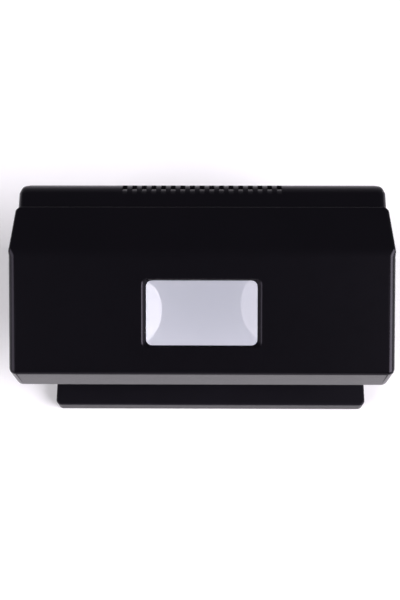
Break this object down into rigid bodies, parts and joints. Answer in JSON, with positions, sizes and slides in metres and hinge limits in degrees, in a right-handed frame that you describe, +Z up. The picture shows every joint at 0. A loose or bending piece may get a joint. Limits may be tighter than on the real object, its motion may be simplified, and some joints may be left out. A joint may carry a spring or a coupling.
{
  "type": "counterfeit bill detector",
  "caption": "Desk-top counterfeit bill detector: hood with a magnifier window over a lit deck, UV tube inside, vented rear housing with ballast, inlet and rocker switches.",
  "frame": {"origin": "middle of the bounding box in plan, on the surface the rubber feet stand on", "axes": "+X to the operator's right, +Y towards the rear housing, +Z up"},
  "size_m": [0.196, 0.1012, 0.0918],
  "materials": {
    "shell_black": "satin moulded",
    "inner_black": "fine moulded texture",
    "rocker_black": "polished",
    "lens_clear": "polished clear acrylic",
    "screw_steel": "zinc plated",
    "tube_glass": "dark violet filter glass",
    "cap_aluminium": "drawn",
    "contact_brass": "plated",
    "socket_white": "moulded",
    "reflector_aluminium": "bright rolled sheet",
    "panel_opal": "opal, satin face",
    "board_white": "white solder mask",
    "led_yellow": "phosphor dome",
    "board_green": "solder mask",
    "ferrite": "sintered",
    "bobbin_amber": "taped winding",
    "capacitor_sleeve": "shrink sleeve",
    "capacitor_red": "dipped resin",
    "fuse_glass": "clear tube",
    "foot_rubber": "matt",
    "lead_brown": "PVC sleeve",
    "lead_blue": "PVC sleeve",
    "lead_white": "silicone sleeve",
    "lead_red": "PVC sleeve"
  },
  "bodies": {
    "housing": {"base_pan": "shell_black", "deck_cover": "shell_black", "bulkhead": "shell_black", "rear_housing": "shell_black", "hood": "shell_black", "magnifier_lens": "lens_clear", "lens_frame": "inner_black", "lens_frame_screws": "screw_steel", "lamp_socket_left": "socket_white", "lamp_socket_right": "socket_white", "socket_screws": "screw_steel", "uv_reflector": "reflector_aluminium", "reflector_screws": "screw_steel", "light_diffuser": "panel_opal", "led_board": "board_white", "white_leds": "led_yellow", "led_board_screws": "screw_steel", "ballast_board": "board_green", "board_screws": "screw_steel", "transformer_core": "ferrite", "transformer_bobbin": "bobbin_amber", "bulk_capacitor": "capacitor_sleeve", "film_capacitors": "capacitor_red", "power_transistors": "inner_black", "board_connectors": "socket_white", "fuse": "fuse_glass", "fuse_clips": "contact_brass", "power_inlet": "inner_black", "inlet_pins": "contact_brass", "uv_switch_body": "inner_black", "light_switch_body": "inner_black", "switch_terminals": "contact_brass", "rubber_feet": "foot_rubber", "base_screws": "screw_steel", "housing_screws": "screw_steel", "hood_screws": "screw_steel", "mains_leads": "lead_brown", "switch_leads": "lead_blue", "lamp_leads": "lead_white", "led_leads": "lead_red"},
    "lamp": {"uv_tube": "tube_glass", "tube_cap_left": "cap_aluminium", "tube_cap_right": "cap_aluminium", "tube_pins": "contact_brass", "socket_rotor_left": "socket_white", "socket_rotor_right": "socket_white"},
    "uv_rocker": {"uv_switch_rocker": "rocker_black"},
    "light_rocker": {"light_switch_rocker": "rocker_black"}
  },
  "joints": [
    {"name": "lamp_turn", "type": "hinge", "parent": "housing", "child": "lamp", "pos_m": [0, 0.013, 0.074], "axis": [1, 0, 0], "range_deg": [0, 90]},
    {"name": "uv_switch", "type": "hinge", "parent": "housing", "child": "uv_rocker", "pos_m": [0.0935, 0.038, 0.0345], "axis": [0, 1, 0], "range_deg": [0, 18]},
    {"name": "light_switch", "type": "hinge", "parent": "housing", "child": "light_rocker", "pos_m": [0.0935, 0.038, 0.0165], "axis": [0, 1, 0], "range_deg": [-18, 0]}
  ]
}
